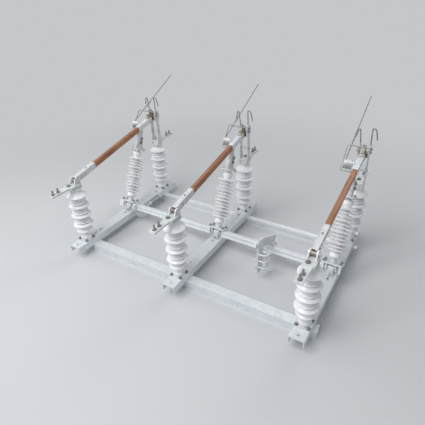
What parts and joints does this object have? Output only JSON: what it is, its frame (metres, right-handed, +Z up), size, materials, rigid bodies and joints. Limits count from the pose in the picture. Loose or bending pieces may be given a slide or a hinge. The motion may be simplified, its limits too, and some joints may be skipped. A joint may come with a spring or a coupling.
{
  "type": "substation disconnect switch",
  "caption": "Gang-operated tilting-insulator disconnect switch for outdoor substations, closed, on a bolted steel base with a shared operating shaft and lifting copper blades.",
  "frame": {"origin": "middle of the near cross member's underside, between the two end poles, on the ground plane", "axes": "+X along the operating shaft from the left to the right pole, +Y from the hinge end to the jaw end, +Z up"},
  "size_m": [2.0197, 1.6385, 1.1023],
  "materials": {
    "post_porcelain": "glazed",
    "pale_polymer": "satin",
    "copper": "drawn, slightly dulled",
    "plated_sleeve": "plated",
    "brass": "cast",
    "grey_casting": "galvanised casting",
    "dark_contact": "greased",
    "bright_rod": "drawn rod",
    "spring_steel": "dark",
    "galvanised_steel": "galvanised"
  },
  "bodies": {
    "base": {"arcing_horns": "bright_rod", "base_channel_left": "galvanised_steel", "base_channel_middle": "galvanised_steel", "base_channel_right": "galvanised_steel", "counterbalance_spring": "spring_steel", "cross_member_far": "galvanised_steel", "cross_member_near": "galvanised_steel", "hinge_casting_left": "grey_casting", "hinge_casting_middle": "grey_casting", "hinge_casting_right": "grey_casting", "hinge_insulator_left": "post_porcelain", "hinge_insulator_middle": "post_porcelain", "hinge_insulator_right": "post_porcelain", "jaw_casting_left": "grey_casting", "jaw_casting_middle": "grey_casting", "jaw_casting_right": "grey_casting", "jaw_contacts": "dark_contact", "jaw_insulator_left": "post_porcelain", "jaw_insulator_middle": "post_porcelain", "jaw_insulator_right": "post_porcelain", "shaft_bearings": "galvanised_steel", "spring_anchor": "galvanised_steel"},
    "shaft": {"counterbalance_lever": "galvanised_steel", "insulator_saddles": "galvanised_steel", "lift_arm_left": "grey_casting", "lift_arm_middle": "grey_casting", "lift_arm_right": "grey_casting", "operating_lever": "galvanised_steel", "operating_shaft": "galvanised_steel", "tilting_insulator_left": "pale_polymer", "tilting_insulator_middle": "pale_polymer", "tilting_insulator_right": "pale_polymer"},
    "blade_left": {"blade_bars_left": "copper", "blade_cover_left": "galvanised_steel", "blade_sleeve_left": "plated_sleeve", "blade_tip_left": "brass", "loop_rod_left": "bright_rod", "whip_left": "bright_rod"},
    "blade_middle": {"blade_bars_middle": "copper", "blade_cover_middle": "galvanised_steel", "blade_sleeve_middle": "plated_sleeve", "blade_tip_middle": "brass", "loop_rod_middle": "bright_rod", "whip_middle": "bright_rod"},
    "blade_right": {"blade_bars_right": "copper", "blade_cover_right": "galvanised_steel", "blade_sleeve_right": "plated_sleeve", "blade_tip_right": "brass", "loop_rod_right": "bright_rod", "whip_right": "bright_rod"},
    "pipe_coupling": {"pipe_coupling_plate": "galvanised_steel", "pipe_u_bolts": "galvanised_steel"}
  },
  "joints": [
    {"name": "shaft_turn", "type": "hinge", "parent": "base", "child": "shaft", "pos_m": [0, 0.476, 0.161], "axis": [1, 0, 0], "range_deg": [0, 60]},
    {"name": "blade_lift_left", "type": "hinge", "parent": "base", "child": "blade_left", "pos_m": [-0.9144, -0.035, 0.633], "axis": [1, 0, 0], "range_deg": [0, 30]},
    {"name": "blade_lift_middle", "type": "hinge", "parent": "base", "child": "blade_middle", "pos_m": [0, -0.035, 0.633], "axis": [1, 0, 0], "range_deg": [0, 30]},
    {"name": "blade_lift_right", "type": "hinge", "parent": "base", "child": "blade_right", "pos_m": [0.9144, -0.035, 0.633], "axis": [1, 0, 0], "range_deg": [0, 30]},
    {"name": "coupling_pivot", "type": "hinge", "parent": "shaft", "child": "pipe_coupling", "pos_m": [0.45, 0.31119, 0.30881], "axis": [1, 0, 0], "range_deg": [-60, 0]}
  ],
  "couplings": [
    {"joint": "blade_lift_left", "follows": "shaft_turn", "ratio": 0.5},
    {"joint": "blade_lift_middle", "follows": "shaft_turn", "ratio": 0.5},
    {"joint": "blade_lift_right", "follows": "shaft_turn", "ratio": 0.5},
    {"joint": "coupling_pivot", "follows": "shaft_turn", "ratio": -1}
  ]
}
